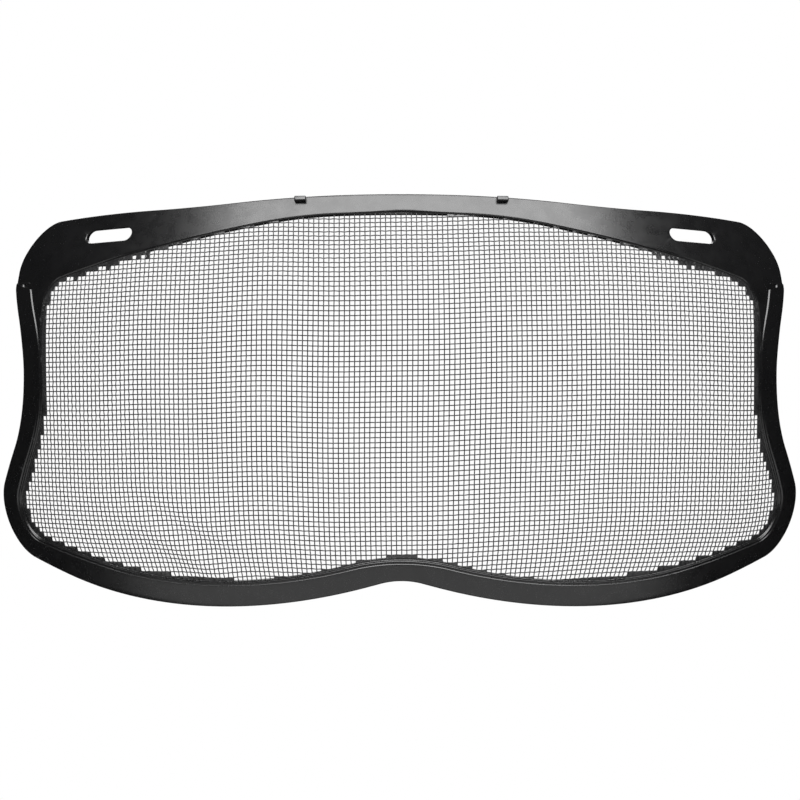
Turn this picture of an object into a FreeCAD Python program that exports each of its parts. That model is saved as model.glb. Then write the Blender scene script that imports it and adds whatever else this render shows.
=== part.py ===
import FreeCAD, Part
import math
import os
import sys
import Sketcher
from FreeCAD import Placement, Rotation, Vector

# Face shield with a woven wire window: one moulded plastic frame on a barrel-curved surface, with the
# wire cloth gripped in its border.
#
# Every body is drawn about the barrel's centre: the point on its upright axis at mid height. +Z is up and
# the wearer looks along -Y. The finished pieces are then moved so that the origin is the middle of the
# frame's top edge.
#
# The outlines are drawn on a flat plane that touches the barrel's front. Each wall runs along a line from
# that plane to the barrel's centre, so the moulding's edges stand nearly square to its curved faces.

doc = FreeCAD.newDocument("face_shield")

# ---------------------------------------------------------------- sizes

SIZES = {
    # the barrel, measured on the middle surface of the wire cloth
    "barrel_radius": 278.6,      # at its widest level
    "widest_level": 22.4,        # above mid height
    "crown_radius": 99.0,        # upright bend above the widest level
    "brow_slope": 27.0,          # degrees, the straight part above that bend
    "lower_radius": 297.0,       # upright bend below the widest level
    "shell_reach": 108.0,        # height drawn above and below mid height, before trimming
    "sweep_angle": 112.0,        # degrees, width drawn before trimming
    # distances from the middle surface
    "mesh_half": 0.42,           # one wire diameter each side
    "border_front": 0.75,
    "border_back": 0.80,
    "plate_front": 1.15,
    "plate_back": 1.00,
    "rim_front": 2.20,
    "rim_back": 1.20,
    "cloth_growth": 1.022,       # the cloth's outline over the window's, gripped in the border
    # scale of each outline on the two planes between which its walls run
    "near_scale": 0.55,
    "far_scale": 1.12,
    # outer edge of the frame
    "edge_brow_x": 107.0, "edge_brow_z": 98.7, "edge_brow_r": 400.0,
    "edge_temple_x": 247.8, "edge_temple_z": 115.9, "edge_temple_r": 26.0,
    "edge_rail_x": 237.0, "edge_rail_z": 68.0, "edge_rail_r": 9.0,
    "edge_waist_x": 205.8, "edge_waist_z": 7.7, "edge_waist_r": 72.0,
    "edge_jaw_x": 289.6, "edge_jaw_z": -94.6, "edge_jaw_r": 30.0,
    "edge_cheek_x": 107.3, "edge_cheek_z": -117.5, "edge_cheek_r": 425.0,
    "edge_nose_x": 0.0, "edge_nose_z": -82.7, "edge_nose_r": 32.0,
    # inner edge of the plate
    "plate_brow_x": 50.0, "plate_brow_z": 88.9, "plate_brow_r": 300.0,
    "plate_temple_x": 202.6, "plate_temple_z": 67.4, "plate_temple_r": 14.0,
    "plate_waist_x": 202.6, "plate_waist_z": 22.0, "plate_waist_r": 30.0,
    "plate_jaw_x": 274.0, "plate_jaw_z": -91.0, "plate_jaw_r": 27.0,
    "plate_cheek_x": 100.0, "plate_cheek_z": -109.0, "plate_cheek_r": 380.0,
    "plate_nose_x": 0.0, "plate_nose_z": -78.0, "plate_nose_r": 50.0,
    # inner edge of the raised rim, and the square end where it starts below each corner plate
    "rim_clear_x": 285.0, "rim_clear_z": 150.0, "rim_clear_r": 5.0,
    "rim_shoulder_x": 285.0, "rim_shoulder_z": 70.5, "rim_shoulder_r": 5.0,
    "rim_end_x": 222.8, "rim_end_z": 70.5, "rim_end_r": 3.0,
    "rim_waist_x": 189.4, "rim_waist_z": 5.6, "rim_waist_r": 75.0,
    "rim_jaw_x": 260.0, "rim_jaw_z": -86.6, "rim_jaw_r": 22.5,
    "rim_cheek_x": 90.4, "rim_cheek_z": -101.0, "rim_cheek_r": 350.0,
    "rim_nose_x": 0.0, "rim_nose_z": -72.6, "rim_nose_r": 73.0,
    # edge of the open wire window
    "window_brow_x": 50.0, "window_brow_z": 87.3, "window_brow_r": 300.0,
    "window_temple_x": 201.0, "window_temple_z": 66.0, "window_temple_r": 12.5,
    "window_waist_x": 200.6, "window_waist_z": -13.0, "window_waist_r": 75.0,
    "window_jaw_x": 254.6, "window_jaw_z": -83.4, "window_jaw_r": 19.0,
    "window_cheek_x": 90.7, "window_cheek_z": -97.2, "window_cheek_r": 350.0,
    "window_nose_x": 0.0, "window_nose_z": -68.6, "window_nose_r": 73.0,
    # fixing slots
    "slot_length": 25.0,
    "slot_width": 6.4,
    "slot_turn": 30.1,           # degrees round the barrel from the middle
    "slot_level": 74.8,          # above mid height
    "slot_tilt": 2.2,            # degrees, its outer end lower
    "slot_reach": 12.9,          # depth of the cut, well through the plate both ways
    # locating lugs on the top edge
    "lug_width": 5.2,
    "lug_height": 2.3,
    "lug_stand": 2.0,            # out from the plate's front
    "lug_root": 1.6,             # sunk into the plate
    "lug_turn": 9.95,            # degrees round the barrel from the middle
    "lug_level": 88.0,           # its middle, above mid height
    "lug_round": 0.4,
}

sheet = doc.addObject("Spreadsheet::Sheet", "sizes")
for row, (alias, value) in enumerate(SIZES.items(), start=1):
    sheet.set(f"A{row}", alias)
    sheet.set(f"B{row}", str(value))
    sheet.setAlias(f"B{row}", alias)
doc.recompute()


def size(alias):
    return float(sheet.get(alias))


def origin_plane(body, role):
    return next(f for f in body.Origin.OriginFeatures if f.Role == role)


def constrain(sketch, relations, dimensions):
    """Add a sketch's relations and its named dimensions, and bind each dimension to the sheet."""
    sketch.addConstraint([Sketcher.Constraint(*relation) for relation in relations])
    first = len(relations)
    sketch.addConstraint([Sketcher.Constraint(*dimension) for _, _, dimension in dimensions])
    for index, (name, expression, _) in enumerate(dimensions, start=first):
        sketch.renameConstraint(index, name)
        sketch.setExpression(f"Constraints.{name}", expression)


# ---------------------------------------------------------------- shells of the barrel

def shell_body(name, back, front):
    """A band of the barrel between two distances from its middle surface."""
    body = doc.addObject("PartDesign::Body", name)
    sketch = body.newObject("Sketcher::SketchObject", name + "_section")
    sketch.AttachmentSupport = [(origin_plane(body, "YZ_Plane"), "")]
    sketch.MapMode = "FlatFace"
    level = size("widest_level")
    slope = math.radians(size("brow_slope"))
    reach = size("shell_reach")
    crown_centre = Vector(-(size("barrel_radius") - size("crown_radius")), level, 0)
    lower_centre = Vector(-(size("barrel_radius") - size("lower_radius")), level, 0)

    def side(offset):
        """The straight brow, the crown bend and the lower bend at one distance from the middle surface."""
        crown = size("crown_radius") + offset
        lower = size("lower_radius") + offset
        bend_end = crown_centre + Vector(-crown * math.cos(slope), crown * math.sin(slope), 0)
        rise = reach - bend_end.y
        top = bend_end + Vector(rise * math.tan(slope), rise, 0)
        turn = math.asin((reach + level) / lower)
        brow = sketch.addGeometry(Part.LineSegment(top, bend_end))
        up = Vector(0, 0, 1)
        crown_arc = sketch.addGeometry(Part.ArcOfCircle(
            Part.Circle(crown_centre, up, crown), math.pi - slope, math.pi))
        lower_arc = sketch.addGeometry(Part.ArcOfCircle(
            Part.Circle(lower_centre, up, lower), math.pi, math.pi + turn))
        return brow, crown_arc, lower_arc

    outer = side(size(front))
    inner = side(-size(back))
    top_end = sketch.addGeometry(Part.LineSegment(
        sketch.Geometry[inner[0]].StartPoint, sketch.Geometry[outer[0]].StartPoint))
    foot_end = sketch.addGeometry(Part.LineSegment(
        sketch.Geometry[inner[2]].EndPoint, sketch.Geometry[outer[2]].EndPoint))

    relations = [("Parallel", outer[0], inner[0])]
    for brow, crown_arc, lower_arc in (outer, inner):
        relations.append(("Tangent", brow, 2, crown_arc, 1))
        relations.append(("Tangent", crown_arc, 2, lower_arc, 1))
    for end, k, point in ((top_end, 0, 1), (foot_end, 2, 2)):
        relations.append(("Coincident", end, 1, inner[k], point))
        relations.append(("Coincident", end, 2, outer[k], point))
        relations.append(("Horizontal", end))
    relations.append(("Coincident", outer[1], 3, inner[1], 3))
    relations.append(("Coincident", outer[2], 3, inner[2], 3))
    constrain(sketch, relations, [
        ("crown_level", "sizes.widest_level", ("DistanceY", -1, 1, outer[1], 3, level)),
        ("joint_level", "sizes.widest_level", ("DistanceY", -1, 1, outer[1], 2, level)),
        ("crown_depth", "sizes.barrel_radius - sizes.crown_radius",
         ("DistanceX", outer[1], 3, -1, 1, -crown_centre.x)),
        ("lower_depth", "sizes.lower_radius - sizes.barrel_radius",
         ("DistanceX", -1, 1, outer[2], 3, lower_centre.x)),
        ("crown_outer", f"sizes.crown_radius + sizes.{front}",
         ("Radius", outer[1], size("crown_radius") + size(front))),
        ("crown_inner", f"sizes.crown_radius - sizes.{back}",
         ("Radius", inner[1], size("crown_radius") - size(back))),
        ("brow_start",
         f"sizes.widest_level + (sizes.crown_radius + sizes.{front}) * sin(sizes.brow_slope * 1 deg)",
         ("DistanceY", -1, 1, outer[0], 2,
          level + (size("crown_radius") + size(front)) * math.sin(slope))),
        ("top_reach", "sizes.shell_reach", ("DistanceY", -1, 1, top_end, 1, reach)),
        ("foot_reach", "sizes.shell_reach", ("DistanceY", foot_end, 1, -1, 1, reach)),
    ])

    turned = body.newObject("PartDesign::Revolution", name + "_band")
    turned.Profile = (sketch, [""])
    turned.ReferenceAxis = (sketch, ["V_Axis"])
    turned.Midplane = True
    turned.setExpression("Angle", "sizes.sweep_angle")
    return body


# ---------------------------------------------------------------- outlines and the walls through them

def corner_points(prefix, corners):
    """Every corner of a symmetrical outline, clockwise from the middle of its top edge."""
    right = [(name, 1, size(f"{prefix}_{name}_x"), size(f"{prefix}_{name}_z")) for name in corners]
    left = [(name, -1, -x, z) for name, _, x, z in reversed(right) if x > 0]
    return right + left


def outline_sketch(body, prefix, corners, scale, growth):
    """Straight runs joined by tangent arcs, on the plane at one scale of the front plane's distance."""
    sketch = body.newObject("Sketcher::SketchObject", f"{body.Name}_{scale}")
    sketch.AttachmentSupport = [(origin_plane(body, "XZ_Plane"), "")]
    sketch.MapMode = "FlatFace"
    sketch.setExpression("AttachmentOffset.Base.z", f"sizes.barrel_radius * sizes.{scale}")
    factor = size(scale) * (size(growth) if growth else 1)
    grown = f"sizes.{scale}" + (f" * sizes.{growth}" if growth else "")
    points = corner_points(prefix, corners)
    places = [Vector(x, z, 0) * factor for _, _, x, z in points]
    radii = [size(f"{prefix}_{name}_r") * factor for name, _, _, _ in points]
    count = len(points)

    up = Vector(0, 0, 1)
    arcs, starts, ends, clockwise = [], [], [], []
    for i, place in enumerate(places):
        to_last = (places[i - 1] - place).normalize()
        to_next = (places[(i + 1) % count] - place).normalize()
        half = to_last.getAngle(to_next) / 2
        tangent_length = radii[i] / math.tan(half)
        start = place + to_last * tangent_length
        end = place + to_next * tangent_length
        centre = place + (to_last + to_next).normalize() * (radii[i] / math.sin(half))
        turns_right = to_last.cross(to_next).z > 0
        first, last = (end, start) if turns_right else (start, end)
        first_angle = math.atan2(first.y - centre.y, first.x - centre.x)
        sweep = (first - centre).getAngle(last - centre)
        circle = Part.Circle(centre, up, radii[i])
        arcs.append(Part.ArcOfCircle(circle, first_angle, first_angle + sweep))
        starts.append(start)
        ends.append(end)
        clockwise.append(turns_right)
    lines = [sketch.addGeometry(Part.LineSegment(ends[i - 1], starts[i])) for i in range(count)]
    rounds = [sketch.addGeometry(arc) for arc in arcs]
    marks = [sketch.addGeometry(Part.Point(place)) for place in places]

    relations, dimensions = [], []
    for i, (name, side, x, z) in enumerate(points):
        before, after = lines[i], lines[(i + 1) % count]
        arrive, leave = (2, 1) if clockwise[i] else (1, 2)
        relations.append(("Tangent", before, 2, rounds[i], arrive))
        relations.append(("Tangent", after, 1, rounds[i], leave))
        relations.append(("PointOnObject", marks[i], 1, before))
        relations.append(("PointOnObject", marks[i], 1, after))
        tag = name + ("_right" if side > 0 else "_left")
        dimensions.append((tag + "_x", f"{side} * sizes.{prefix}_{name}_x * {grown}",
                           ("DistanceX", -1, 1, marks[i], 1, x * factor)))
        dimensions.append((tag + "_z", f"sizes.{prefix}_{name}_z * {grown}",
                           ("DistanceY", -1, 1, marks[i], 1, z * factor)))
        dimensions.append((tag + "_r", f"sizes.{prefix}_{name}_r * {grown}",
                           ("Radius", rounds[i], radii[i])))
    constrain(sketch, relations, dimensions)
    for mark in marks:
        sketch.setConstruction(mark, True)
    return sketch


def outline_body(name, prefix, corners, growth=None):
    """A solid whose walls run through an outline towards the barrel's centre."""
    body = doc.addObject("PartDesign::Body", name)
    near = outline_sketch(body, prefix, corners, "near_scale", growth)
    far = outline_sketch(body, prefix, corners, "far_scale", growth)
    loft = body.newObject("PartDesign::AdditiveLoft", name + "_walls")
    loft.Profile = (near, [""])
    loft.Sections = [(far, [""])]
    loft.Ruled = True
    return body


FRAME_CORNERS = ("brow", "temple", "rail", "waist", "jaw", "cheek", "nose")
PLATE_CORNERS = ("brow", "temple", "waist", "jaw", "cheek", "nose")
RIM_CORNERS = ("clear", "shoulder", "end", "waist", "jaw", "cheek", "nose")



def combine(kind, name, base, *tools):
    """A Part boolean of whole bodies."""
    made = doc.addObject("Part::" + kind, name)
    if kind == "MultiFuse":
        made.Shapes = [base, *tools]
    else:
        made.Base, made.Tool = base, tools[0]
    return made


# ---------------------------------------------------------------- wire mesh

# Woven wire cloth, drawn as one sheet two wires thick.
cloth_shell = shell_body("cloth_shell", "mesh_half", "mesh_half")
cloth_walls = outline_body("cloth_walls", "window", PLATE_CORNERS, "cloth_growth")
cloth = combine("Common", "cloth", cloth_shell, cloth_walls)

# ---------------------------------------------------------------- frame

edge_walls = outline_body("edge_walls", "edge", FRAME_CORNERS)
window_walls = outline_body("window_walls", "window", PLATE_CORNERS)
plate_walls = outline_body("plate_walls", "plate", PLATE_CORNERS)
rim_walls = outline_body("rim_walls", "rim", RIM_CORNERS)

border = combine("Cut", "border", shell_body("border_shell", "border_back", "border_front"), window_walls)
plate = combine("Cut", "plate", shell_body("plate_shell", "plate_back", "plate_front"), plate_walls)
rim = combine("Cut", "rim", shell_body("rim_shell", "rim_back", "rim_front"), rim_walls)
layers = combine("MultiFuse", "layers", border, plate, rim)
blank = combine("Common", "blank", layers, edge_walls)
doc.recompute()


def seat(turn, level, side):
    """A placement on the barrel's middle surface: local Z points out of it, local X runs round it."""
    slope = math.radians(size("brow_slope"))
    crown = size("crown_radius")
    above = level - size("widest_level") - crown * math.sin(slope)
    radius = size("barrel_radius") - crown * (1 - math.cos(slope)) - above * math.tan(slope)
    angle = math.radians(turn) * side
    place = Vector(radius * math.sin(angle), -radius * math.cos(angle), level)
    stand_up = Rotation(Vector(1, 0, 0), 90 - size("brow_slope"))
    return Placement(place, Rotation(Vector(0, 0, 1), turn * side) * stand_up)


def slot_cutter(name, side):
    """A round-ended bar through a corner plate, square to its face."""
    body = doc.addObject("PartDesign::Body", name)
    sketch = body.newObject("Sketcher::SketchObject", name + "_outline")
    sketch.AttachmentSupport = [(origin_plane(body, "XY_Plane"), "")]
    sketch.MapMode = "FlatFace"
    radius = size("slot_width") / 2
    reach = size("slot_length") / 2 - radius
    up = Vector(0, 0, 1)
    quarter = math.pi / 2
    top = sketch.addGeometry(Part.LineSegment(Vector(-reach, radius, 0), Vector(reach, radius, 0)))
    foot = sketch.addGeometry(Part.LineSegment(Vector(-reach, -radius, 0), Vector(reach, -radius, 0)))
    right = sketch.addGeometry(Part.ArcOfCircle(
        Part.Circle(Vector(reach, 0, 0), up, radius), -quarter, quarter))
    left = sketch.addGeometry(Part.ArcOfCircle(
        Part.Circle(Vector(-reach, 0, 0), up, radius), quarter, 3 * quarter))
    constrain(sketch, [
        ("Tangent", top, 2, right, 2), ("Tangent", foot, 2, right, 1),
        ("Tangent", top, 1, left, 1), ("Tangent", foot, 1, left, 2),
        ("Horizontal", top), ("Equal", right, left), ("Symmetric", right, 3, left, 3, -1, 1),
    ], [
        ("end_radius", "sizes.slot_width / 2", ("Radius", right, radius)),
        ("centres", "sizes.slot_length - sizes.slot_width", ("DistanceX", left, 3, right, 3, 2 * reach)),
    ])
    bar = body.newObject("PartDesign::Pad", name + "_bar")
    bar.Profile = (sketch, [""])
    bar.Midplane = True
    bar.setExpression("Length", "sizes.slot_reach")
    tilt = Placement(Vector(), Rotation(Vector(0, 0, 1), -side * size("slot_tilt")))
    body.Placement = seat(size("slot_turn"), size("slot_level"), side) * tilt
    return body


def lug(name, side):
    """A small block that stands out of the plate's front at its top edge."""
    block = doc.addObject("Part::Box", name + "_block")
    block.setExpression("Length", "sizes.lug_width")
    block.setExpression("Width", "sizes.lug_height")
    block.setExpression("Height", "sizes.plate_front + sizes.lug_stand + sizes.lug_root")
    middle = Vector(-size("lug_width") / 2, -size("lug_height") / 2, -size("lug_root"))
    block.Placement = seat(size("lug_turn"), size("lug_level"), side) * Placement(middle, Rotation())
    rounded = doc.addObject("Part::Fillet", name)
    rounded.Base = block
    doc.recompute()
    out = block.Placement.Rotation.multVec(Vector(0, 0, 1))
    front = max(range(6), key=lambda i: block.Shape.Faces[i].CenterOfMass.dot(out))
    rims = [i for i, edge in enumerate(block.Shape.Edges, start=1)
            if any(edge.isSame(other) for other in block.Shape.Faces[front].Edges)]
    rounded.Edges = [(i, size("lug_round"), size("lug_round")) for i in rims]
    return rounded


slotted = combine("Cut", "slotted_left", blank, slot_cutter("left_slot_bar", -1))
slotted = combine("Cut", "slotted_right", slotted, slot_cutter("right_slot_bar", 1))
lugged = combine("MultiFuse", "lugged", slotted, lug("left_lug", -1), lug("right_lug", 1))
moulding = combine("Cut", "moulding", lugged, cloth)
doc.recompute()

# ---------------------------------------------------------------- placing, checking and writing

def top_edge_seat():
    """The middle of the top edge: where the outline's top wall meets the barrel's middle surface."""
    slope = math.tan(math.radians(size("brow_slope")))
    radius_at_middle = -seat(0, 0, 1).Base.y
    level = size("edge_brow_z") * radius_at_middle / (size("barrel_radius") + size("edge_brow_z") * slope)
    return seat(0, level, 1).Base


def finished(name, source):
    """A finished piece: the solid moved so that the origin is the middle of the top edge."""
    piece = doc.addObject("Part::Compound", name)
    piece.Links = [source]
    piece.Label = name
    piece.Placement = Placement(-top_edge_seat(), Rotation())
    return piece


pieces = [finished("visor_frame", moulding), finished("wire_mesh", cloth)]
doc.recompute()

for item in doc.Objects:
    if "Invalid" in item.State or "Error" in item.State:
        sys.exit(f"{item.Name}: {item.State}")
    if item.isDerivedFrom("Sketcher::SketchObject") and not item.FullyConstrained:
        sys.exit(f"{item.Name} is not fully constrained")
for piece in pieces:
    shape = piece.Shape
    if shape.isNull() or not shape.isValid() or len(shape.Solids) != 1:
        sys.exit(f"{piece.Label} is not one valid solid")

os.makedirs("parts", exist_ok=True)
for piece in pieces:
    piece.Shape.exportStep(f"parts/{piece.Label}.step")
    box = piece.Shape.BoundBox
    print(f"{piece.Label}: {piece.Shape.Volume:.0f} mm3, x {box.XMin:.1f} to {box.XMax:.1f}, "
          f"y {box.YMin:.1f} to {box.YMax:.1f}, z {box.ZMin:.1f} to {box.ZMax:.1f}")
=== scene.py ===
import math

import bmesh
import bpy
import numpy as np
from mathutils import Matrix, Vector


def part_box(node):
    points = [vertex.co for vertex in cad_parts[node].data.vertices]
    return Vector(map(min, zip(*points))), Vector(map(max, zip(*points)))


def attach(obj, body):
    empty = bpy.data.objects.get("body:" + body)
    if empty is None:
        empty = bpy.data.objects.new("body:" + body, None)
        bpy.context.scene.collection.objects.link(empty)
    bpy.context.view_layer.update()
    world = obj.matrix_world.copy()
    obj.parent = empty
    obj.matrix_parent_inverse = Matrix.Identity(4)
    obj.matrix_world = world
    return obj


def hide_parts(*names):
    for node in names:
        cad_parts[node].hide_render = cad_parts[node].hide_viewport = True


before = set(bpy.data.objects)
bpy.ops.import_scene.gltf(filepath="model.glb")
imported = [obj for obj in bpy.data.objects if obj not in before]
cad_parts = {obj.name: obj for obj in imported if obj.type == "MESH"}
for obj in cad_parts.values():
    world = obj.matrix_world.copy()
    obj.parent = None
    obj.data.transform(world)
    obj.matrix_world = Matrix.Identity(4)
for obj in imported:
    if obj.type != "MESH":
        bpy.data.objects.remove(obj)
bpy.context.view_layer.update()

# A mesh face shield: woven wire cloth moulded into a black plastic frame. Everything is in metres, in the
# CAD model's frame: +Z up, the wearer looks along -Y, and the origin is the middle of the top edge.

MM = 0.001
rng = np.random.default_rng(7)


def add_object(name, data):
    """A new object in the scene, at the origin."""
    made = bpy.data.objects.new(name, data)
    bpy.context.scene.collection.objects.link(made)
    return made


# ---------------------------------------------------------------- the barrel that every surface follows

BARREL_RADIUS = 278.6 * MM       # middle surface of the wire cloth, at its widest level
CROWN_RADIUS = 99.0 * MM         # upright bend above that level
LOWER_RADIUS = 297.0 * MM        # upright bend below it
BROW_SLOPE = math.radians(27.0)  # straight part above the crown bend
WIDEST_LEVEL = 22.4 * MM         # above mid height
CROWN_TOP = WIDEST_LEVEL + CROWN_RADIUS * math.sin(BROW_SLOPE)
MESH_HALF = 0.42 * MM            # half the cloth's thickness

# the barrel's upright axis and its mid height, from where the cloth's front and the top edge are
AXIS_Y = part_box("wire_mesh")[0][1] + BARREL_RADIUS + MESH_HALF
BROW_DROP = BARREL_RADIUS - CROWN_RADIUS * (1 - math.cos(BROW_SLOPE)) - AXIS_Y
MID_Z = -(CROWN_TOP + BROW_DROP / math.tan(BROW_SLOPE))


def barrel_radius(level):
    """Radius of the middle surface at a height above mid height."""
    level = np.asarray(level, float)
    rise = level - WIDEST_LEVEL
    crown = CROWN_RADIUS - np.sqrt(np.maximum(CROWN_RADIUS ** 2 - rise ** 2, 0))
    straight = CROWN_RADIUS * (1 - math.cos(BROW_SLOPE)) + (level - CROWN_TOP) * math.tan(BROW_SLOPE)
    lower = LOWER_RADIUS - np.sqrt(np.maximum(LOWER_RADIUS ** 2 - rise ** 2, 0))
    back = np.where(rise <= 0, lower, np.where(level < CROWN_TOP, crown, straight))
    return BARREL_RADIUS - back


def barrel_slope(level):
    """How far the surface leans back at a height, as an angle: positive above the widest level."""
    rise = np.asarray(level, float) - WIDEST_LEVEL
    crown = np.arcsin(np.clip(rise / CROWN_RADIUS, 0, math.sin(BROW_SLOPE)))
    lower = np.arcsin(np.clip(rise / LOWER_RADIUS, -1, 0))
    return np.where(rise > 0, crown, lower)


def on_barrel(turn, level, out=0.0):
    """Points at an angle round the barrel and a height, moved out along its normal."""
    lean = barrel_slope(level)
    radius = barrel_radius(level) + out * np.cos(lean)
    height = level + out * np.sin(lean)
    return np.stack([radius * np.sin(turn), AXIS_Y - radius * np.cos(turn), MID_Z + height], axis=-1)


def from_flat(x, z):
    """The angle and height on the barrel of a point of the flat plane."""
    x, z = np.asarray(x, float), np.asarray(z, float)
    turn = np.arctan2(x, BARREL_RADIUS)
    level = z * np.cos(turn)
    for _ in range(25):
        level = z * np.cos(turn) * barrel_radius(level) / BARREL_RADIUS
    return turn, level


# ---------------------------------------------------------------- outlines on the flat plane, in mm
# Corners of the right half, from the middle of the top edge round to the nose: x, z and rounding radius.

FRAME_EDGE = {
    "brow": (107.0, 98.7, 400.0), "temple": (247.8, 115.9, 26.0), "rail": (237.0, 68.0, 9.0),
    "waist": (205.8, 7.7, 72.0), "jaw": (289.6, -94.6, 30.0), "cheek": (107.3, -117.5, 425.0),
    "nose": (0.0, -82.7, 32.0)}
PLATE_EDGE = {
    "brow": (50.0, 88.9, 300.0), "temple": (202.6, 67.4, 14.0), "waist": (202.6, 22.0, 30.0),
    "jaw": (274.0, -91.0, 27.0), "cheek": (100.0, -109.0, 380.0), "nose": (0.0, -78.0, 50.0)}
RIM_EDGE = {
    "clear": (285.0, 150.0, 5.0), "shoulder": (285.0, 70.5, 5.0), "end": (222.8, 70.5, 3.0),
    "waist": (189.4, 5.6, 75.0), "jaw": (260.0, -86.6, 22.5), "cheek": (90.4, -101.0, 350.0),
    "nose": (0.0, -72.6, 73.0)}
WINDOW_EDGE = {
    "brow": (50.0, 87.3, 300.0), "temple": (201.0, 66.0, 12.5), "waist": (200.6, -13.0, 75.0),
    "jaw": (254.6, -83.4, 19.0), "cheek": (90.7, -97.2, 350.0), "nose": (0.0, -68.6, 73.0)}


def outline(corners, spacing=0.8):
    """A closed outline, clockwise from the middle of the top: points in metres, and each corner's index."""
    right = [(name, x, z, r) for name, (x, z, r) in corners.items()]
    left = [(name + "_left", -x, z, r) for name, x, z, r in reversed(right) if x > 0]
    ring = right + left
    points, middles = [np.array([0.0, ring[0][2]])], {}
    for i, (name, x, z, radius) in enumerate(ring):
        here = np.array([x, z])
        to_last = np.array(ring[i - 1][1:3]) - here
        to_next = np.array(ring[(i + 1) % len(ring)][1:3]) - here
        to_last /= np.linalg.norm(to_last)
        to_next /= np.linalg.norm(to_next)
        half = math.acos(np.clip(to_last @ to_next, -1, 1)) / 2
        start = here + to_last * radius / math.tan(half)
        end = here + to_next * radius / math.tan(half)
        bisector = (to_last + to_next) / np.linalg.norm(to_last + to_next)
        centre = here + bisector * radius / math.sin(half)
        a0 = math.atan2(*(start - centre)[::-1])
        a1 = math.atan2(*(end - centre)[::-1])
        sweep = (a1 - a0 + math.pi) % (2 * math.pi) - math.pi
        run = start - points[-1]
        steps = max(1, int(np.linalg.norm(run) / spacing))
        points += [points[-1] + run * k / steps for k in range(1, steps + 1)]
        steps = max(8, int(abs(sweep) * radius / spacing))
        first = len(points)
        for k in range(1, steps + 1):
            a = a0 + sweep * k / steps
            points.append(centre + radius * np.array([math.cos(a), math.sin(a)]))
        middles[name] = first + steps // 2
    run = points[0] - points[-1]
    steps = max(1, int(np.linalg.norm(run) / spacing))
    points += [points[-1] + run * k / steps for k in range(1, steps)]
    return np.array(points) * MM, middles


BATCH = 4000                     # points handled at a time, to spare memory


def signed_distance(px, pz, ring):
    """Distance of points from a closed outline, positive inside it."""
    a = ring
    ab = np.roll(ring, -1, axis=0) - a
    length2 = (ab ** 2).sum(1)
    result = np.empty(len(px))
    for lo in range(0, len(px), BATCH):
        p = np.stack([px[lo:lo + BATCH], pz[lo:lo + BATCH]], 1)[:, None, :]
        along = np.clip(((p - a) * ab).sum(2) / length2, 0, 1)
        near = np.sqrt((((p - a) - along[..., None] * ab) ** 2).sum(2).min(1))
        above = (a[:, 1] > p[..., 1]) != (a[:, 1] + ab[:, 1] > p[..., 1])
        rise = np.where(ab[:, 1] == 0, 1e-12, ab[:, 1])
        crossing = p[..., 0] < a[:, 0] + ab[:, 0] * (p[..., 1] - a[:, 1]) / rise
        inside = (above & crossing).sum(1) % 2 == 1
        result[lo:lo + BATCH] = np.where(inside, near, -near)
    return result


def developed(points_x, points_z):
    """Flat-plane points unrolled on the barrel: distance round it and height, nearly at true length."""
    turn, level = from_flat(points_x, points_z)
    return np.stack([turn * BARREL_RADIUS, level], axis=-1)


def unrolled_outline(corners, spacing=1.6):
    """An outline's points, unrolled on the barrel."""
    return developed(*outline(corners, spacing)[0].T)


def smooth_step(d, width):
    """0 below -width, 1 above width, with a rounded rise between."""
    k = np.clip((d + width) / (2 * width), 0, 1)
    return k * k * (3 - 2 * k)


# ---------------------------------------------------------------- the moulded frame

BORDER_FRONT, BORDER_BACK = 0.50 * MM, 0.60 * MM
BORDER_SHY = 1.2 * MM            # the border stops short of the window's edge, where filled cells take over
PLATE_FRONT, PLATE_BACK = 1.15 * MM, 1.00 * MM
RIM_FRONT, RIM_BACK = 2.20 * MM, 1.20 * MM
RIM_BEAD = 0.50 * MM             # the rim's last rise, outside a narrow ledge along its inner edge
RIM_LEDGE = 1.3 * MM
RIM_WIDER_BELOW = 1.7 * MM       # than its outline
RIM_NARROWER_ABOVE = 0.6 * MM
BROW_ROUND = 1.9 * MM            # the window's edge is a full round under the brow
EDGE_ROUND = 0.75 * MM
STEP_ROUND = 0.30 * MM
WINDOW_ROUND = 0.25 * MM
EDGE_AT_END = 0.238              # the outer edge's flat place beside the rim's square end
RAIL_LEVEL = 60.0 * MM           # where the window's side meets the rib from the rail's corner
RIM_END_OVERLAP = 9.0 * MM       # the rim's line is kept this far above its square end
CRISP_ABOVE, CRISP_REACH = 2.5 * MM, 5.5 * MM    # extra ribs about the square end
RAIL_BEYOND = 200 * MM           # the rails lie further round the barrel than this
LEAST_RIM, LEAST_BORDER = 3.2 * MM, 2.4 * MM
LOWER_RIM_LEVEL, LOWER_RIM_FADE = -20 * MM, 25 * MM
BROW_LEVEL, BROW_FADE = 64 * MM, 4 * MM
ANCHORS = ("brow", "temple", "rail", "waist", "jaw", "cheek", "nose",
           "cheek_left", "jaw_left", "waist_left", "rail_left", "temple_left", "brow_left")


def between(ring, first, last, count):
    """Evenly spaced points along a closed outline from one of its points to another, without the last."""
    if last <= first:
        last += len(ring)
    run = ring[np.arange(first, last + 1) % len(ring)]
    length = np.concatenate([[0], np.cumsum(np.linalg.norm(np.diff(run, axis=0), axis=1))])
    at = np.linspace(0, length[-1], count + 1)[:-1]
    return np.stack([np.interp(at, length, run[:, k]) for k in (0, 1)], axis=1)


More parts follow.
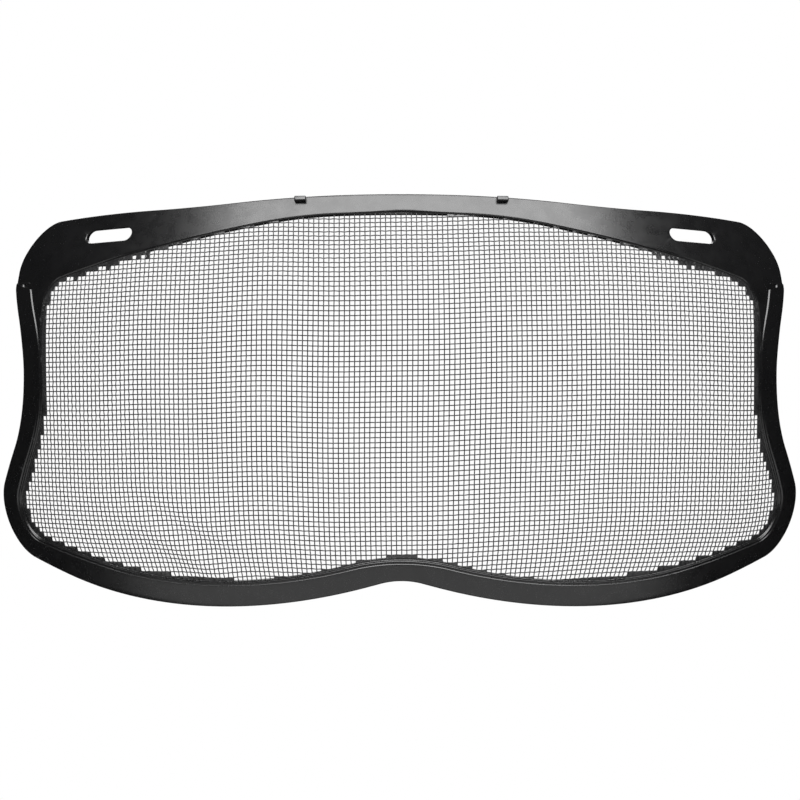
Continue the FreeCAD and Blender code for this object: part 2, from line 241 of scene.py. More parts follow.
def ribs_across_frame(spacing=1.0 * MM):
    """Matching points on the frame's outer edge and on the window's edge, all the way round."""
    edge, edge_at = outline(FRAME_EDGE)
    window, window_at = outline(WINDOW_EDGE)
    for side, name in ((1, "rail"), (-1, "rail_left")):
        off = abs(window[:, 1] - RAIL_LEVEL) + np.where(window[:, 0] * side > 150 * MM, 0, 1)
        window_at[name] = int(np.argmin(off))
    outer, inner = [], []
    for k, name in enumerate(ANCHORS):
        after = ANCHORS[(k + 1) % len(ANCHORS)]
        first, last = edge_at[name], edge_at[after]
        steps = last - first if last > first else last + len(edge) - first
        count = max(8, int(steps * 0.8 * MM / spacing))
        outer.append(between(edge, first, last, count))
        inner.append(between(window, window_at[name], window_at[after], count))
    outer, inner = closer_at_rim_end(np.concatenate(outer), np.concatenate(inner))
    outer, inner = developed(outer[:, 0], outer[:, 1]), developed(inner[:, 0], inner[:, 1])
    width = np.linalg.norm(inner - outer, axis=1, keepdims=True)
    shy = BORDER_SHY * (1 - under_brow(inner[:, 1:])) * (1 - 0.7 * on_lower_rim(inner[:, 1:]))
    return outer, inner + (outer - inner) * shy / width


def closer_at_rim_end(outer, inner, extra=5):
    """More ribs where the rim's square end crosses the rail, so that the end stays crisp."""
    end = RIM_EDGE["end"][1] * MM + RIM_LEDGE / 2
    near = (abs(outer[:, 1] - end - CRISP_ABOVE) < CRISP_REACH) & (abs(outer[:, 0]) > RAIL_BEYOND)
    ends = []
    for ring in (outer, inner):
        after = np.roll(ring, -1, axis=0)
        more = [here + (after[k] - here) * n / extra for k, here in enumerate(ring)
                for n in range(extra if near[k] else 1)]
        ends.append(np.array(more))
    return ends


def where_crossed(outer, inner, ring):
    """Distance along each rib at which it meets an outline, or 0, and how squarely it meets it, up to 1."""
    a = ring
    e = np.roll(ring, -1, axis=0) - a
    place, square = np.zeros(len(outer)), np.ones(len(outer))
    for i, (p, q) in enumerate(zip(outer, inner)):
        d = q - p
        cross = d[0] * e[:, 1] - d[1] * e[:, 0]
        cross = np.where(abs(cross) < 1e-15, 1e-15, cross)
        t = ((a[:, 0] - p[0]) * e[:, 1] - (a[:, 1] - p[1]) * e[:, 0]) / cross
        u = ((a[:, 0] - p[0]) * d[1] - (a[:, 1] - p[1]) * d[0]) / cross
        hit = np.flatnonzero((u >= 0) & (u <= 1) & (t > 0.02) & (t < 0.98))
        if len(hit):
            k = hit[np.argmin(t[hit])]
            length = np.linalg.norm(d)
            place[i] = t[k] * length
            square[i] = max(abs(cross[k]) / length / np.linalg.norm(e[k]), 0.5)
    return place, square


def filled_between(values, known):
    """Values all round a ring, with the unknown ones run smoothly between their known neighbours."""
    at = np.arange(len(values))
    return np.interp(at, at[known], values[known], period=len(values))


def on_lower_rim(level):
    """1 along the frame's lower edge, 0 on the rails and the brow."""
    return smooth_step(LOWER_RIM_LEVEL - level, LOWER_RIM_FADE)


def under_brow(level):
    """1 along the top edge of the window, 0 elsewhere."""
    return smooth_step(level - BROW_LEVEL, BROW_FADE)


def frame_mesh():
    """The moulding as a closed band: ribs round the frame, each a closed loop over its front and back."""
    outer, inner = ribs_across_frame()
    ribs = len(outer)
    width = np.linalg.norm(inner - outer, axis=1)
    to_rim, rim_square = where_crossed(outer, inner, unrolled_outline(RIM_EDGE))
    to_plate, plate_square = where_crossed(outer, inner, unrolled_outline(PLATE_EDGE))
    end = developed(np.array([EDGE_AT_END]), np.array([RIM_EDGE["end"][1] * MM + RIM_LEDGE]))[0, 1]
    has_rim = outer[:, 1] < end + RIM_END_OVERLAP
    at_rim = filled_between(to_rim, (to_rim > 0) & has_rim)
    has_bead = on_lower_rim(inner[:, 1])
    at_rim = at_rim + (RIM_WIDER_BELOW * has_bead - RIM_NARROWER_ABOVE * (1 - has_bead)) / rim_square
    at_rim = np.clip(at_rim, LEAST_RIM, np.where(has_rim, width - LEAST_BORDER, 0.45 * width))
    ledge = at_rim + RIM_LEDGE / rim_square
    brow = under_brow(inner[:, 1])
    at_plate = np.where(to_plate > 0, to_plate, width)
    has_plate = smooth_step(at_plate - np.where(has_rim, ledge, 0) - 1.4 * MM, 0.5 * MM)
    at_plate = filled_between(at_plate, (to_plate > 0) & (has_plate > 0.99))
    window_round = WINDOW_ROUND + (BROW_ROUND - WINDOW_ROUND) * brow
    at_plate = np.clip(at_plate, ledge + 0.8 * MM, width - window_round - 0.4 * MM)
    has_plate = np.maximum(has_plate, brow)

    quarter = np.linspace(0, math.pi / 2, 5)
    step = np.linspace(-1.25, 1.25, 6) * STEP_ROUND

    def spread(lo, hi, count):
        return [lo + (hi - lo) * (k + 1) / (count + 1) for k in range(count)]

    # places across the front, from the outer edge to the window, with the height lost to rounding
    places, lost = [], []
    for a in quarter:
        places.append(np.full(ribs, EDGE_ROUND * (1 - math.cos(a))))
        lost.append(np.full(ribs, EDGE_ROUND * (1 - math.sin(a))))
    groups = (spread(EDGE_ROUND, at_rim - step[-1], 4),
              [at_rim + k for k in step], [ledge + k for k in step],
              spread(ledge + step[-1], at_plate - step[-1], 5), [at_plate + k for k in step])
    for group in groups:
        for place in group:
            places.append(place)
            lost.append(np.zeros(ribs))
    for a in quarter[::-1]:
        places.append(width - window_round * (1 - math.cos(a)))
        lost.append(window_round * (1 - math.sin(a)))
    across = np.maximum.accumulate(np.stack(places, axis=1), axis=1)
    lost = np.stack(lost, axis=1)
    count = across.shape[1]

    def share(values):
        return values[:, None]

    part = (across / share(width))[..., None]
    flat = outer[:, None, :] * (1 - part) + inner[:, None, :] * part
    below_end = smooth_step(end - flat[..., 1], 2 * STEP_ROUND)
    on_bead = share(has_bead) * below_end * smooth_step(share(at_rim) - across, STEP_ROUND)
    on_rim = below_end * smooth_step(share(ledge) - across, STEP_ROUND)
    on_plate = smooth_step(share(at_plate) - across, STEP_ROUND)
    on_plate = share(has_plate) * np.maximum(on_plate, share(brow))
    front = BORDER_FRONT + (PLATE_FRONT - BORDER_FRONT) * on_plate
    front = front + (RIM_FRONT - RIM_BEAD - front) * on_rim + RIM_BEAD * on_bead
    back = BORDER_BACK + (PLATE_BACK - BORDER_BACK) * on_plate
    back = back + (RIM_BACK - back) * on_rim
    border = 1 - np.maximum(on_plate, on_rim)
    front = front - lost
    back = back - np.minimum(lost, EDGE_ROUND)
    plain = [k for k in range(count) if k < 5 or k > 14 or k % 2][::-1]     # the back needs fewer columns
    loop_flat = np.concatenate([flat, flat[:, plain]], axis=1)
    loop_out = np.concatenate([front, -back[:, plain]], axis=1)
    loop_border = np.concatenate([border, border[:, plain]], axis=1)
    points = on_barrel(loop_flat[..., 0] / BARREL_RADIUS, loop_flat[..., 1], loop_out)
    return points, loop_flat, loop_border


def grid_object(name, points, flat, border):
    """A closed grid of quads, with the unrolled place and the border's share as attributes."""
    rows, columns = points.shape[:2]
    i, j = np.meshgrid(np.arange(rows), np.arange(columns), indexing="ij")
    here, right = i * columns + j, i * columns + (j + 1) % columns
    below = ((i + 1) % rows) * columns + j
    both = ((i + 1) % rows) * columns + (j + 1) % columns
    faces = np.stack([here, below, both, right], axis=-1).reshape(-1, 4)
    mesh = bpy.data.meshes.new(name)
    mesh.from_pydata(points.reshape(-1, 3).tolist(), [], faces.tolist())
    mesh.attributes.new("unrolled", "FLOAT_VECTOR", "POINT")
    place = np.zeros((rows * columns, 3), np.float32)
    place[:, :2] = flat.reshape(-1, 2)
    mesh.attributes["unrolled"].data.foreach_set("vector", place.ravel())
    mesh.attributes.new("border", "FLOAT", "POINT")
    mesh.attributes["border"].data.foreach_set("value", border.reshape(-1).astype(np.float32))
    mesh.shade_smooth()
    return add_object(name, mesh)


SLOT_LENGTH, SLOT_WIDTH = 25.0 * MM, 6.7 * MM
SLOT_TURN, SLOT_LEVEL, SLOT_TILT = math.radians(30.1), 74.8 * MM, math.radians(2.2)
SLOT_ROUND = 0.55 * MM
SLOT_OVERRUN = 2.0 * MM          # how far the cutter stands out of both faces
ARC_STEPS, SIDE_STEPS, FLARE_STEPS = 16, 24, 5


def slot_cutter(name, side):
    """A round-ended bar through a corner plate, flared at both faces so that the slot's rim is round."""
    reach = SLOT_LENGTH / 2 - SLOT_WIDTH / 2
    ring = []
    for end in (1, -1):
        for k in range(ARC_STEPS + 1):
            a = -math.pi / 2 + math.pi * k / ARC_STEPS
            ring.append((end * reach, end * math.cos(a), end * math.sin(a)))
        ring += [(end * reach * (1 - 2 * k / SIDE_STEPS), 0, end) for k in range(1, SIDE_STEPS)]
    levels = []
    for face, depth in ((-1, PLATE_BACK), (1, PLATE_FRONT)):
        levels.append((face * (depth + SLOT_OVERRUN), SLOT_ROUND + 0.1 * MM))
        for k in range(FLARE_STEPS, -1, -1):
            a = math.pi / 2 * k / FLARE_STEPS
            sunk = depth + 0.02 * MM - SLOT_ROUND * (1 - math.sin(a))
            levels.append((face * sunk, SLOT_ROUND * (1 - math.cos(a))))
    levels = sorted(levels)
    vertices = []
    radius = float(barrel_radius(SLOT_LEVEL))
    for out, flare in levels:
        for x, cx, cz in ring:
            u = x + (SLOT_WIDTH / 2 + flare) * cx
            v = (SLOT_WIDTH / 2 + flare) * cz
            u, v = (u * math.cos(SLOT_TILT) + v * math.sin(SLOT_TILT),
                    v * math.cos(SLOT_TILT) - u * math.sin(SLOT_TILT))
            level = SLOT_LEVEL + v * math.cos(BROW_SLOPE)
            turn = side * (SLOT_TURN + u / radius)
            away = np.array([math.sin(turn), -math.cos(turn), 0]) * out / math.cos(BROW_SLOPE)
            vertices.append(on_barrel(turn, level) + away)
    size = len(ring)
    faces = [[size * k + i, size * k + (i + 1) % size, size * (k + 1) + (i + 1) % size, size * (k + 1) + i]
             for k in range(len(levels) - 1) for i in range(size)]
    faces.append(list(range(size))[::-1])
    faces.append([size * (len(levels) - 1) + i for i in range(size)])
    mesh = bpy.data.meshes.new(name)
    mesh.from_pydata([tuple(v) for v in vertices], [], faces)
    bm = bmesh.new()
    bm.from_mesh(mesh)
    bmesh.ops.recalc_face_normals(bm, faces=bm.faces)
    bm.to_mesh(mesh)
    bm.free()
    return add_object(name, mesh)


LUG_SIZE = (5.2 * MM, 2.3 * MM, 3.6 * MM)
LUG_TURN, LUG_LEVEL, LUG_STAND = math.radians(9.95), 88.0 * MM, 2.0 * MM
LUG_ROUND = 0.45 * MM


def add_lug(bm, side):
    """A small block with rounded edges, standing out of the plate's front at the top edge."""
    block = bmesh.ops.create_cube(bm, size=1.0)["verts"]
    for v in block:
        v.co = Vector([v.co[k] * LUG_SIZE[k] for k in range(3)])
    edges = list({e for v in block for e in v.link_edges})
    rounded = bmesh.ops.bevel(bm, geom=edges, offset=LUG_ROUND, segments=4, profile=0.5, affect="EDGES")
    vertices = {v for f in rounded["faces"] for v in f.verts} | {v for v in block if v.is_valid}
    middle = PLATE_FRONT + LUG_STAND - LUG_SIZE[2] / 2
    place = Vector(on_barrel(side * LUG_TURN, LUG_LEVEL, middle))
    turn = Matrix.Rotation(side * LUG_TURN, 3, "Z") @ Matrix.Rotation(math.pi / 2 - BROW_SLOPE, 3, "X")
    for v in vertices:
        v.co = turn @ v.co + place


def finished_mesh(target):
    """The target's evaluated mesh, with its modifiers taken off."""
    graph = bpy.context.evaluated_depsgraph_get()
    done = bpy.data.meshes.new_from_object(target.evaluated_get(graph))
    target.modifiers.clear()
    target.data = done
    return target


def make_frame():
    made = grid_object("visor_frame_moulding", *frame_mesh())
    for side in (-1, 1):
        cutter = slot_cutter("slot_cutter", side)
        cut = made.modifiers.new("slot", "BOOLEAN")
        cut.operation = "DIFFERENCE"
        cut.solver = "MANIFOLD"
        cut.object = cutter
        finished_mesh(made)
        bpy.data.objects.remove(cutter)
    bm = bmesh.new()
    bm.from_mesh(made.data)
    for side in (-1, 1):
        add_lug(bm, side)
    for face in bm.faces:
        face.smooth = True
    bm.to_mesh(made.data)
    bm.free()
    return made


# ---------------------------------------------------------------- the woven wire cloth

WIRE_RADIUS = 0.25 * MM
CRIMP_HEIGHT = 0.17 * MM
UPRIGHT_PITCH = 2.274 * MM / BARREL_RADIUS       # angle between upright wires
LEVEL_PITCH = 2.21 * MM                          # along the upright profile, between level wires
STEPS_PER_CROSSING = 4
HIDDEN = 1.6 * MM                                # how far the wires run on into the moulding
WEAVE_COLUMNS, WEAVE_ROWS = 110, 52              # wires counted each way from the middle, past the window
BANDS = 3                                        # meshes for each direction


def profile_table():
    """Heights, and the length of the upright profile from mid height to each of them."""
    levels = np.linspace(-130 * MM, 130 * MM, 2601)
    run = np.gradient(barrel_radius(levels), levels)
    length = np.concatenate([[0], np.cumsum(np.sqrt(1 + (run[1:] + run[:-1]) ** 2 / 4) * np.diff(levels))])
    return levels, length - np.interp(0, levels, length)


PROFILE_LEVELS, PROFILE_LENGTHS = profile_table()


# How the real cloth's level wires wander, as a slope and a sum of waves that a fitting program gave:
# each wave's height and its length round the barrel in mm, and its start in radians.
LEVEL_TILT = 0.0165
LEVEL_WAVES = ((0.39, 269.0, -0.57), (0.55, 154.0, -1.88), (0.17, 85.7, -0.73), (0.10, 64.8, 1.2),
               (0.14, 52.0, 2.72))
DRAWN_FROM = -50.0 * MM                          # below this height the upright wires are drawn in
DRAWN_RATE = 75.0                                # per square metre

# the jaw on the -X side, where the cloth is folded along a slant and pulled inwards
FOLD_PLACE, FOLD_REACH, FOLD_PITCH = (-97 * MM, -66 * MM), (34 * MM, 15 * MM), 3.4 * MM
PULL, PULL_PLACE, PULL_REACH, PULL_BELOW, PULL_FADE = 4.0 * MM, -128 * MM, 45 * MM, -55 * MM, 22 * MM


def weave_drift(across, row):
    """How far a level wire wanders off true, in metres."""
    drift = LEVEL_TILT * across
    for height, length, start in LEVEL_WAVES:
        drift = drift + height * MM * np.sin(2 * math.pi * across / (length * MM) + start)
    return drift + jaw_ripple(across, row, 0.55 * MM)


def jaw_ripple(across, row, height):
    """Small slanting folds in the cloth by the -X jaw."""
    x, z = across - FOLD_PLACE[0], row - FOLD_PLACE[1]
    along, over = 0.84 * x - 0.54 * z, 0.54 * x + 0.84 * z
    near = np.exp(-(along / FOLD_REACH[0]) ** 2 - (over / FOLD_REACH[1]) ** 2)
    return near * height * np.sin(over / FOLD_PITCH)


def jaw_pull(across, row):
    """How far the upright wires by the -X jaw are pulled inwards."""
    beside = np.exp(-((across - PULL_PLACE) / PULL_REACH) ** 2)
    return PULL * smooth_step(PULL_BELOW - row, PULL_FADE) * beside


def cloth_point(column, row):
    """Angle round the barrel and height of a place in the weave, counted in wires from its middle."""
    across = column * UPRIGHT_PITCH * BARREL_RADIUS
    along = row * LEVEL_PITCH
    level = np.interp(along + weave_drift(across, along), PROFILE_LENGTHS, PROFILE_LEVELS)
    drawn = 1 - DRAWN_RATE * np.maximum(DRAWN_FROM - along, 0) ** 2 / 2
    side = np.sin(column * UPRIGHT_PITCH) * BARREL_RADIUS * drawn
    side = side + 0.2 * MM * np.sin(along / (19 * MM) + across / (50 * MM))
    side = side + jaw_ripple(across, along, 0.3 * MM) + jaw_pull(across, along)
    turn = np.arcsin(np.clip(side / barrel_radius(level), -0.95, 0.95))
    return turn, level


def wire_runs(direction, ring):
    """The wires of one direction that lie over the window: arrays of weave places, one for each length."""
    runs = []
    count, reach = (WEAVE_COLUMNS, WEAVE_ROWS) if direction == "upright" else (WEAVE_ROWS, WEAVE_COLUMNS)
    steps = np.arange(-reach * STEPS_PER_CROSSING, reach * STEPS_PER_CROSSING + 1) / STEPS_PER_CROSSING
    for k in range(-count, count + 1):
        fixed = np.full(len(steps), float(k))
        column, row = (fixed, steps) if direction == "upright" else (steps, fixed)
        turn, level = cloth_point(column, row)
        near = signed_distance(turn * BARREL_RADIUS, level, ring) > -HIDDEN
        edges = np.flatnonzero(np.diff(np.concatenate([[0], near.astype(int), [0]])))
        for first, last in zip(edges[::2], edges[1::2]):
            if last - first > STEPS_PER_CROSSING:
                runs.append((column[first:last], row[first:last], turn[first:last], level[first:last]))
    return runs


def run_mesh(name, runs, direction):
    """Wires as chains of edges on the barrel, with the outward direction and the rise at each point."""
    points, edges, out, rise = [], [], [], []
    for column, row, turn, level in runs:
        first = len(points)
        points += on_barrel(turn, level).tolist()
        out += (on_barrel(turn, level, 1.0) - on_barrel(turn, level)).tolist()
        along, fixed = (row, column) if direction == "upright" else (column, row)
        side = 1 if direction == "upright" else -1
        parity = np.where(np.round(fixed) % 2 == 0, 1.0, -1.0)
        rise += (side * parity * np.cos(math.pi * along)).tolist()
        edges += [(k, k + 1) for k in range(first, first + len(turn) - 1)]
    mesh = bpy.data.meshes.new(name)
    mesh.from_pydata(points, edges, [])
    mesh.attributes.new("outward", "FLOAT_VECTOR", "POINT")
    mesh.attributes["outward"].data.foreach_set("vector", np.array(out, np.float32).ravel())
    mesh.attributes.new("rise", "FLOAT", "POINT")
    mesh.attributes["rise"].data.foreach_set("value", np.array(rise, np.float32))
    return mesh


def weave_tree(coating):
    """Geometry nodes that bend chains of edges over and under each other and make them round wires."""
    tree = bpy.data.node_groups.new("Woven wire", "GeometryNodeTree")
    face = tree.interface
    face.new_socket(name="Geometry", in_out="INPUT", socket_type="NodeSocketGeometry")
    for name, value in (("Wire radius", WIRE_RADIUS), ("Crimp height", CRIMP_HEIGHT)):
        face.new_socket(name=name, in_out="INPUT", socket_type="NodeSocketFloat").default_value = value
    face.new_socket(name="Sides", in_out="INPUT", socket_type="NodeSocketInt").default_value = 5
    face.new_socket(name="Geometry", in_out="OUTPUT", socket_type="NodeSocketGeometry")
    nodes, link = tree.nodes, tree.links.new
    start, end = nodes.new("NodeGroupInput"), nodes.new("NodeGroupOutput")
    outward = nodes.new("GeometryNodeInputNamedAttribute")
    outward.data_type = "FLOAT_VECTOR"
    outward.inputs["Name"].default_value = "outward"
    rise = nodes.new("GeometryNodeInputNamedAttribute")
    rise.data_type = "FLOAT"
    rise.inputs["Name"].default_value = "rise"
    height = nodes.new("ShaderNodeMath")
    height.operation = "MULTIPLY"
    link(rise.outputs["Attribute"], height.inputs[0])
    link(start.outputs["Crimp height"], height.inputs[1])
    shift = nodes.new("ShaderNodeVectorMath")
    shift.operation = "SCALE"
    link(outward.outputs["Attribute"], shift.inputs[0])
    link(height.outputs[0], shift.inputs["Scale"])
    crimp = nodes.new("GeometryNodeSetPosition")
    link(start.outputs["Geometry"], crimp.inputs["Geometry"])
    link(shift.outputs[0], crimp.inputs["Offset"])
    curve = nodes.new("GeometryNodeMeshToCurve")
    link(crimp.outputs["Geometry"], curve.inputs["Mesh"])
    circle = nodes.new("GeometryNodeCurvePrimitiveCircle")
    link(start.outputs["Sides"], circle.inputs["Resolution"])
    link(start.outputs["Wire radius"], circle.inputs["Radius"])
    tube = nodes.new("GeometryNodeCurveToMesh")
    tube.inputs["Fill Caps"].default_value = True
    link(curve.outputs["Curve"], tube.inputs["Curve"])
    link(circle.outputs["Curve"], tube.inputs["Profile Curve"])
    smooth = nodes.new("GeometryNodeSetShadeSmooth")
    link(tube.outputs["Mesh"], smooth.inputs[0])
    real = nodes.new("GeometryNodeRealizeInstances")
    link(smooth.outputs[0], real.inputs[0])
    finish = nodes.new("GeometryNodeSetMaterial")
    finish.inputs["Material"].default_value = coating
    link(real.outputs[0], finish.inputs["Geometry"])
    link(finish.outputs["Geometry"], end.inputs["Geometry"])
    return tree


def make_wires(coating):
    """The cloth's wires, each direction in bands that stay light enough to handle."""
    ring = unrolled_outline(WINDOW_EDGE)
    tree = weave_tree(coating)
    made = []
    for direction in ("upright", "level"):
        runs = wire_runs(direction, ring)
        total = sum(len(run[0]) for run in runs)
        bands, band, size = [], [], 0
        for run in runs:
            band.append(run)
            size += len(run[0])
            if size > total / BANDS:
                bands.append(band)
                band, size = [], 0
        if band:
            bands.append(band)
        for k, band in enumerate(bands):
            name = f"wire_{direction}_{k + 1}"
            piece = add_object(name, run_mesh(name, band, direction))
            piece.modifiers.new("weave", "NODES").node_group = tree
            made.append(finished_mesh(piece))
    return made


# ---------------------------------------------------------------- plastic that filled the cloth's edge cells

FLASH_HALF = 0.46 * MM
FLASH_REACH, FLASH_SWAY = -0.3 * MM, 0.3 * MM    # past the window's edge, and how that varies
FLASH_OVERLAP = 2.2 * MM                         # how far it runs back under the frame
JAW_REACH = 1.3 * MM                             # more at the jaws
CORNER_REACH, TOOTH_REACH = 0.9 * MM, 3.2 * MM   # more under the corner plates, and in their longest teeth


def flash_cells(ring):
    """Cells of the weave along the window's edge that the moulding filled, out to an uneven stepped line."""
    columns, rows = np.meshgrid(np.arange(-WEAVE_COLUMNS, WEAVE_COLUMNS),
                                np.arange(-WEAVE_ROWS, WEAVE_ROWS), indexing="ij")
    turn, level = cloth_point(columns + 0.5, rows + 0.5)
    inside = signed_distance((turn * BARREL_RADIUS).ravel(), level.ravel(), ring).reshape(columns.shape)
    across, up = turn * BARREL_RADIUS, level
    reach = FLASH_REACH + FLASH_SWAY * np.sin(across / (17 * MM) + 1.0)
    jaw = smooth_step(abs(across) - 90 * MM, 25 * MM) * smooth_step(45 * MM - up, 12 * MM)
    reach = reach + JAW_REACH * jaw
    corner = smooth_step(up - 50 * MM, 12 * MM) * smooth_step(abs(across) - 118 * MM, 14 * MM)
    teeth = rng.uniform(0, 1, (columns.shape[0], 1)) ** 3
    reach = reach + corner * (CORNER_REACH + TOOTH_REACH * teeth)
    filled = (inside > -FLASH_OVERLAP) & (inside < reach)
    return filled, columns[:, 0], rows[0]


def make_flash():
    """One closed thin sheet over the filled cells, proud of the wires and slightly sunk cell by cell."""
    ring = unrolled_outline(WINDOW_EDGE)
    filled, columns, rows = flash_cells(ring)
    bm = bmesh.new()
    corner = {}

    def vertex(i, j, face):
        key = (i, j, face)
        if key not in corner:
            turn, level = cloth_point(np.array(float(i)), np.array(float(j)))
            corner[key] = bm.verts.new(on_barrel(turn, level, face * FLASH_HALF))
        return corner[key]

    def is_filled(a, b):
        return 0 <= a < filled.shape[0] and 0 <= b < filled.shape[1] and filled[a, b]

    for a, b in np.argwhere(filled):
        i, j = columns[a], rows[b]
        square = ((i, j), (i + 1, j), (i + 1, j + 1), (i, j + 1))
        turn, level = cloth_point(np.array(i + 0.5), np.array(j + 0.5))
        for face in (1, -1):
            sink = rng.uniform(0.6, 1.0)
            middle = bm.verts.new(on_barrel(turn, level, face * FLASH_HALF * sink))
            for k in range(4):
                ends = [vertex(*square[k], face), vertex(*square[(k + 1) % 4], face)]
                bm.faces.new((ends + [middle]) if face > 0 else (ends[::-1] + [middle]))
        sides = ((a, b - 1, 0, 1), (a + 1, b, 1, 2), (a, b + 1, 2, 3), (a - 1, b, 3, 0))
        for na, nb, p, q in sides:
            if not is_filled(na, nb):
                bm.faces.new((vertex(*square[p], 1), vertex(*square[p], -1),
                              vertex(*square[q], -1), vertex(*square[q], 1)))
    mesh = bpy.data.meshes.new("edge_flash")
    bm.to_mesh(mesh)
    bm.free()
    mesh.attributes.new("border", "FLOAT", "POINT")
    mesh.attributes["border"].data.foreach_set("value", np.ones(len(mesh.vertices), np.float32))
    return add_object("edge_flash", mesh)


# ---------------------------------------------------------------- materials


def new_material(name, colour, roughness):
    """A material with its one principled shader set to plain values."""
    made = bpy.data.materials.new(name)
    made.use_nodes = True
    shader = made.node_tree.nodes["Principled BSDF"]
    shader.inputs["Base Color"].default_value = (*colour, 1)
    shader.inputs["Roughness"].default_value = roughness
    return made, shader


def noise(tree, place, scale, detail=4.0, roughness=0.55):
    node = tree.nodes.new("ShaderNodeTexNoise")
    node.inputs["Scale"].default_value = scale
    node.inputs["Detail"].default_value = detail
    node.inputs["Roughness"].default_value = roughness
    tree.links.new(place, node.inputs["Vector"])
    return node.outputs["Fac"]


def stretch(tree, value, low, high, new_low, new_high):
    """A value's range low to high spread over new_low to new_high."""
    node = tree.nodes.new("ShaderNodeMapRange")
    for name, number in zip(("From Min", "From Max", "To Min", "To Max"), (low, high, new_low, new_high)):
        node.inputs[name].default_value = number
    tree.links.new(value, node.inputs["Value"])
    return node.outputs["Result"]


def blend_colours(tree, share, first, second):
    node = tree.nodes.new("ShaderNodeMix")
    node.data_type = "RGBA"
    for socket, colour in ((6, first), (7, second)):
        if isinstance(colour, tuple):
            node.inputs[socket].default_value = (*colour, 1)
        else:
            tree.links.new(colour, node.inputs[socket])
    tree.links.new(share, node.inputs[0])
    return node.outputs[2]


def bump(tree, height, strength, distance, before=None):
    node = tree.nodes.new("ShaderNodeBump")
    node.inputs["Strength"].default_value = strength
    node.inputs["Distance"].default_value = distance
    tree.links.new(height, node.inputs["Height"])
    if before is not None:
        tree.links.new(before, node.inputs["Normal"])
    return node.outputs["Normal"]


def moulded_plastic():
    """Satin black plastic: a fine spark-eroded grain, faint flow marks, a painted highlight along sharp
    edges, a speckled border.
    """
    made, shader = new_material("black moulded plastic", (0.005, 0.005, 0.0053), 0.28)
    tree = made.node_tree
    link = tree.links.new
    place = tree.nodes.new("ShaderNodeTexCoord").outputs["Object"]
    grain = noise(tree, place, 1500.0, 3.0)
    mottle = noise(tree, place, 160.0, 5.0)
    flow = noise(tree, place, 22.0, 3.0)
    edge = tree.nodes.new("ShaderNodeNewGeometry").outputs["Pointiness"]
    # painted highlight: sharp convex edges (found from Pointiness) get a lighter colour, standing in for lamp
    # catch-lights
    painted_edge_highlight = stretch(tree, edge, 0.52, 0.60, 0.0, 1.0)
    dull = stretch(tree, flow, 0.35, 0.65, 0.0, 1.0)
    body = blend_colours(tree, dull, (0.0024, 0.0024, 0.0026), (0.0036, 0.0036, 0.0038))
    link(blend_colours(tree, painted_edge_highlight, body, (0.016, 0.016, 0.0165)), shader.inputs["Base Color"])
    rough = stretch(tree, mottle, 0.3, 0.7, 0.24, 0.32)
    link(rough, shader.inputs["Roughness"])
    speckle = noise(tree, place, 620.0, 2.0)
    border = tree.nodes.new("ShaderNodeAttribute")
    border.attribute_name = "border"
    first = bump(tree, grain, 0.15, 0.00006)
    second = bump(tree, mottle, 0.08, 0.00025, first)
    third = bump(tree, speckle, 0.5, 0.0004, second)
    link(stretch(tree, border.outputs["Fac"], 0.0, 1.0, 0.0, 0.5), third.node.inputs["Strength"])
    link(third, shader.inputs["Normal"])
    return made


def coated_wire():
    """Steel wire under a thin black coating, with a painted highlight along the crests of its bends that
    stand toward the front.
    """
    made, shader = new_material("black coated wire", (0.03, 0.03, 0.032), 0.36)
    tree = made.node_tree
    link = tree.links.new
    place = tree.nodes.new("ShaderNodeTexCoord").outputs["Object"]
    lumps = noise(tree, place, 900.0, 3.0)
    patches = noise(tree, place, 35.0, 4.0)
    rise = tree.nodes.new("ShaderNodeAttribute")
    rise.attribute_name = "rise"
    # painted highlight: where the crimp lifts the wire toward the front lamps, its colour is made lighter
    painted_crest_highlight = stretch(tree, rise.outputs["Fac"], 0.2, 1.0, 0.0, 1.0)
    coat = blend_colours(tree, stretch(tree, patches, 0.35, 0.65, 0.0, 1.0), (0.006, 0.006, 0.0066),
                         (0.012, 0.012, 0.0126))
    link(blend_colours(tree, painted_crest_highlight, coat, (0.022, 0.022, 0.023)), shader.inputs["Base Color"])
    link(stretch(tree, lumps, 0.3, 0.7, 0.30, 0.45), shader.inputs["Roughness"])
    link(bump(tree, lumps, 0.3, 0.00005), shader.inputs["Normal"])
    return made


# ---------------------------------------------------------------- light, floor and camera


def soft_light(name, place, aim, size, watts):
    lamp = bpy.data.lights.new(name, "AREA")
    lamp.shape = "RECTANGLE"
    lamp.size, lamp.size_y = size
    lamp.energy = watts
    made = add_object(name, lamp)
    made.location = place
    made.rotation_euler = (Vector(aim) - Vector(place)).to_track_quat("-Z", "Y").to_euler()
    return made


def white_room(world):
    """White to the eye and to rough surfaces, and dim in reflections, so that only lamps show in them."""
    world.use_nodes = True
    tree = world.node_tree
    background = tree.nodes["Background"]
    background.inputs["Color"].default_value = (1, 1, 1, 1)
    rays = tree.nodes.new("ShaderNodeLightPath")
    direct = stretch(tree, rays.outputs["Is Camera Ray"], 0.0, 1.0, 0.42, 1.0)
    strength = stretch(tree, rays.outputs["Is Glossy Ray"], 0.0, 1.0, 1.0, 0.015)
    tree.links.new(direct, strength.node.inputs["To Min"])
    tree.links.new(strength, background.inputs["Strength"])


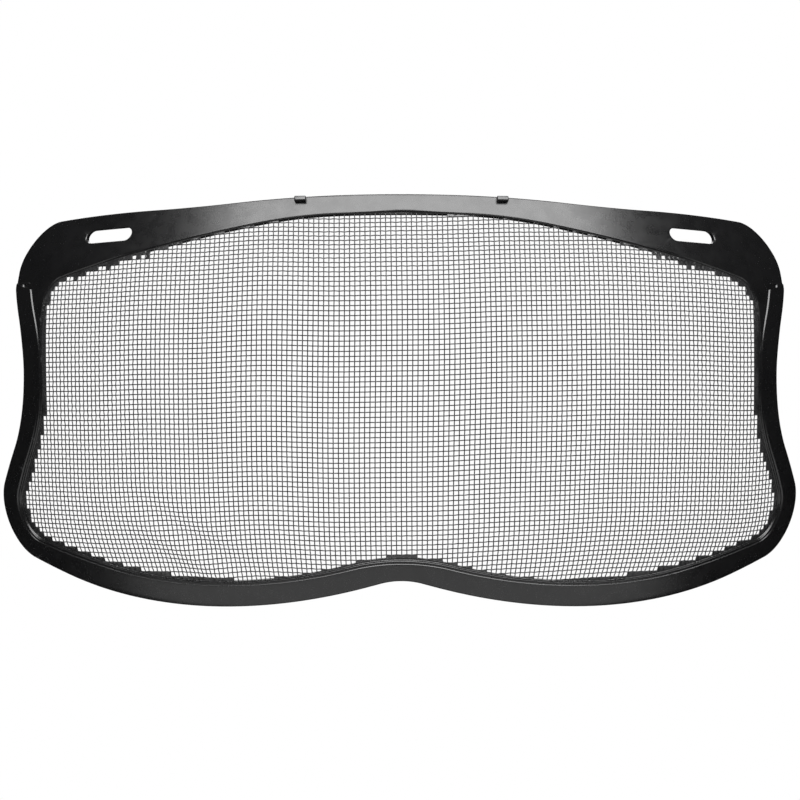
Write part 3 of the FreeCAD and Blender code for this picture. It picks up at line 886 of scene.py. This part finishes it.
def lay_floor():
    """A wide pale floor well below, with its own even light, and too dull to show in the visor's gloss."""
    low, reach = MID_Z - 1.2, 4.5
    mesh = bpy.data.meshes.new("floor")
    mesh.from_pydata([(-reach, -reach, low), (reach, -reach, low), (reach, reach, low), (-reach, reach, low)],
                     [], [(0, 1, 2, 3)])
    mesh.materials.append(new_material("pale floor", (0.86, 0.86, 0.86), 0.9)[0])
    ground = add_object("floor", mesh)
    ground.visible_glossy = False
    lit = bpy.data.collections.new("lit by the floor lamp")
    lit.objects.link(ground)
    lamp = bpy.data.lights.new("floor_wash", "SUN")
    lamp.energy = 2.2
    lamp.angle = 1.2
    wash = add_object("floor_wash", lamp)
    wash.light_linking.receiver_collection = lit


CAMERA_DISTANCE, CAMERA_ASIDE = 1139.8 * MM, -7.7 * MM      # from the barrel's axis


def set_up_studio():
    """A white room, soft lamps high in front, low in front and behind, a pale floor, and the camera."""
    scene = bpy.context.scene
    scene.world = bpy.data.worlds.new("studio")
    white_room(scene.world)
    middle = Vector((0, 0.02, MID_Z))
    soft_light("overhead", middle + Vector((0.06, -0.75, 1.10)), middle, (1.87, 0.9), 53)
    soft_light("low_front", middle + Vector((0, -0.72, -0.95)), middle, (3.1, 1.0), 10.9)
    soft_light("behind", middle + Vector((0, 1.35, 0.95)), middle, (1.6, 0.6), 12)
    lay_floor()
    lens = bpy.data.cameras.new("camera")
    lens.lens, lens.sensor_width = 90, 36
    lens.clip_start, lens.clip_end = 0.05, 50
    camera = add_object("camera", lens)
    camera.location = (CAMERA_ASIDE, AXIS_Y - CAMERA_DISTANCE, MID_Z)
    camera.rotation_euler = Vector((0.008, 1, 0)).to_track_quat("-Z", "Y").to_euler()
    scene.camera = camera
    scene.view_settings.view_transform = "Standard"
    scene.view_settings.look = "None"


# ---------------------------------------------------------------- putting it together

set_up_studio()
plastic, coating = moulded_plastic(), coated_wire()

moulding = make_frame()
moulding.data.materials.clear()
moulding.data.materials.append(plastic)
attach(moulding, "root")
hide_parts("visor_frame")

flash = make_flash()
flash.data.materials.append(plastic)
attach(flash, "root")

wires = make_wires(coating)
for wire in wires:
    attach(wire, "root")
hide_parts("wire_mesh")
